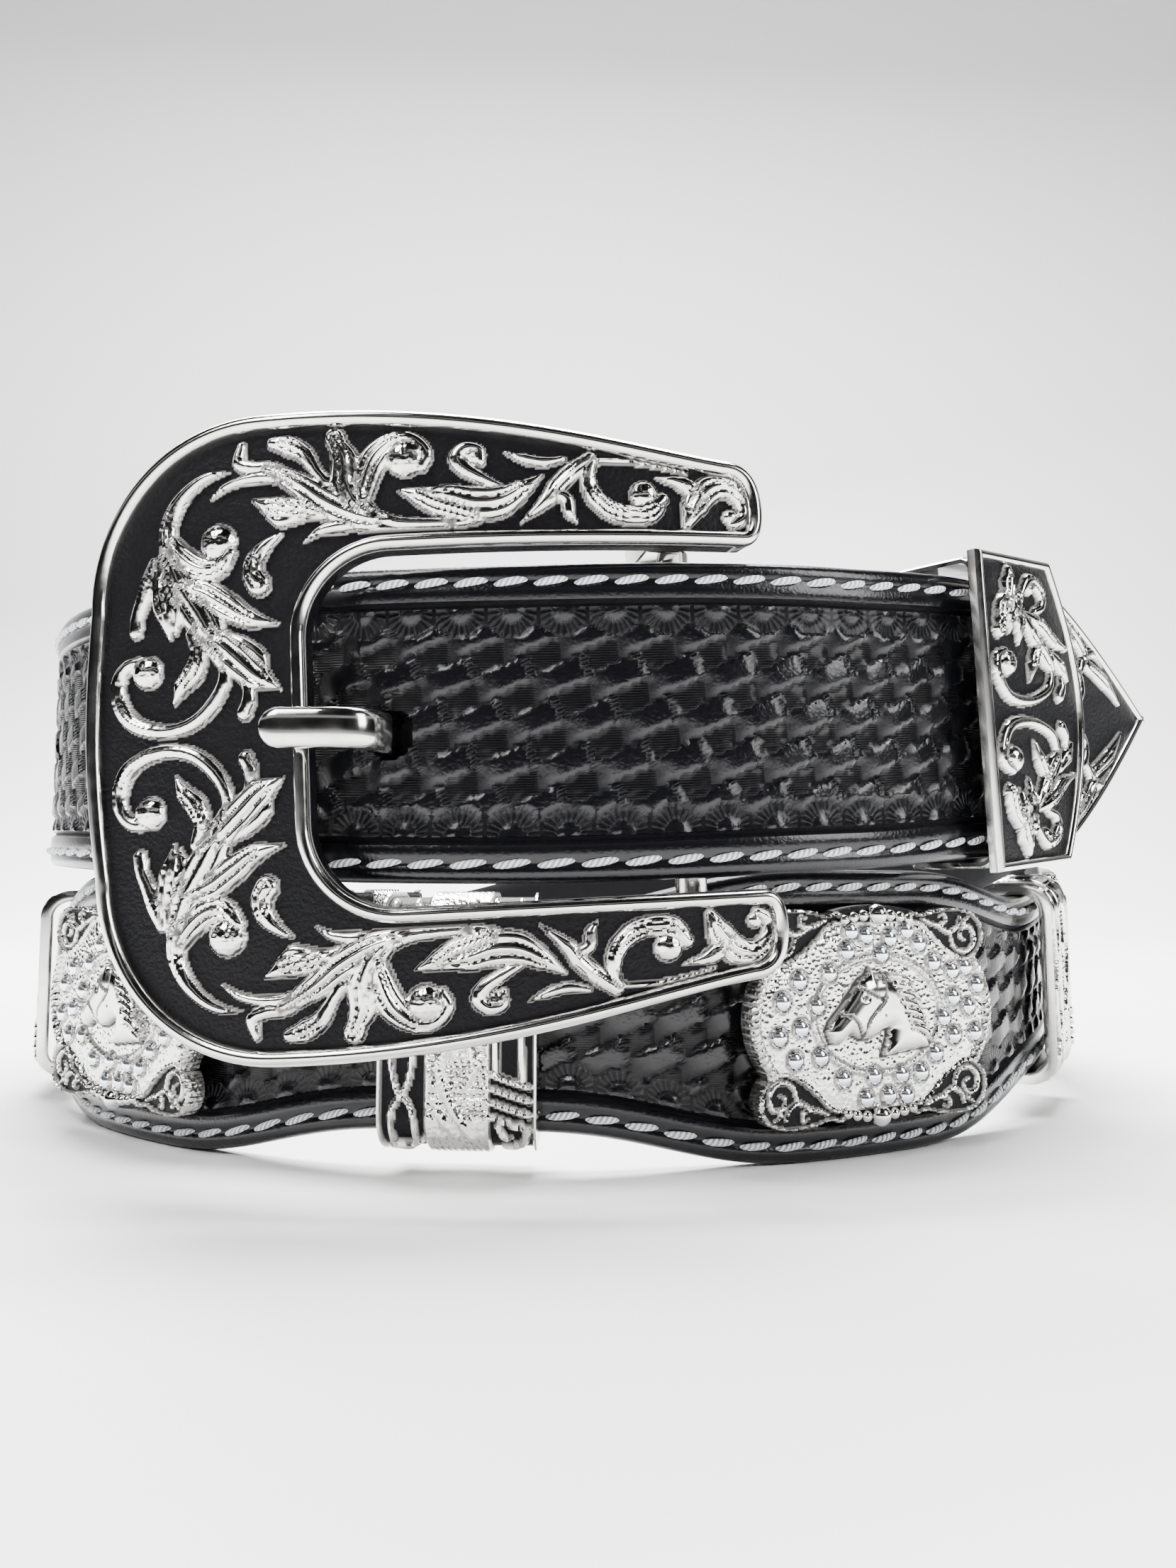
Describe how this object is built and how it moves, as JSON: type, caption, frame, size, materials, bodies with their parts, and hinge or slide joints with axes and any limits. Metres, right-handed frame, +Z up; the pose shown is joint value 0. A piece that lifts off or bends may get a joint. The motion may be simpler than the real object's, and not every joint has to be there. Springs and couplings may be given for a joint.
{
  "type": "western belt",
  "caption": "Black tooled leather western belt, buckled and wound in two turns, with a horseshoe buckle, keeper, metal tip, slides and oval conchos.",
  "frame": {"origin": "on the surface the belt stands on, under the middle of its bounding box", "axes": "+Z up, the buckle faces -Y, +X runs from the buckle towards the belt's tip"},
  "size_m": [0.194, 0.2026, 0.0915],
  "materials": {
    "leather": "semi-gloss, tooled",
    "silver": "polished plated casting with blackened ground"
  },
  "bodies": {
    "root": {"belt_strap": "leather", "buckle_frame": "silver", "buckle_prong": "silver", "keeper_loop": "silver", "strap_tip": "silver", "slide_1": "silver", "slide_2": "silver", "slide_3": "silver", "slide_4": "silver", "slide_5": "silver", "concho_1": "silver", "concho_2": "silver", "concho_3": "silver", "concho_4": "silver"}
  },
  "joints": []
}
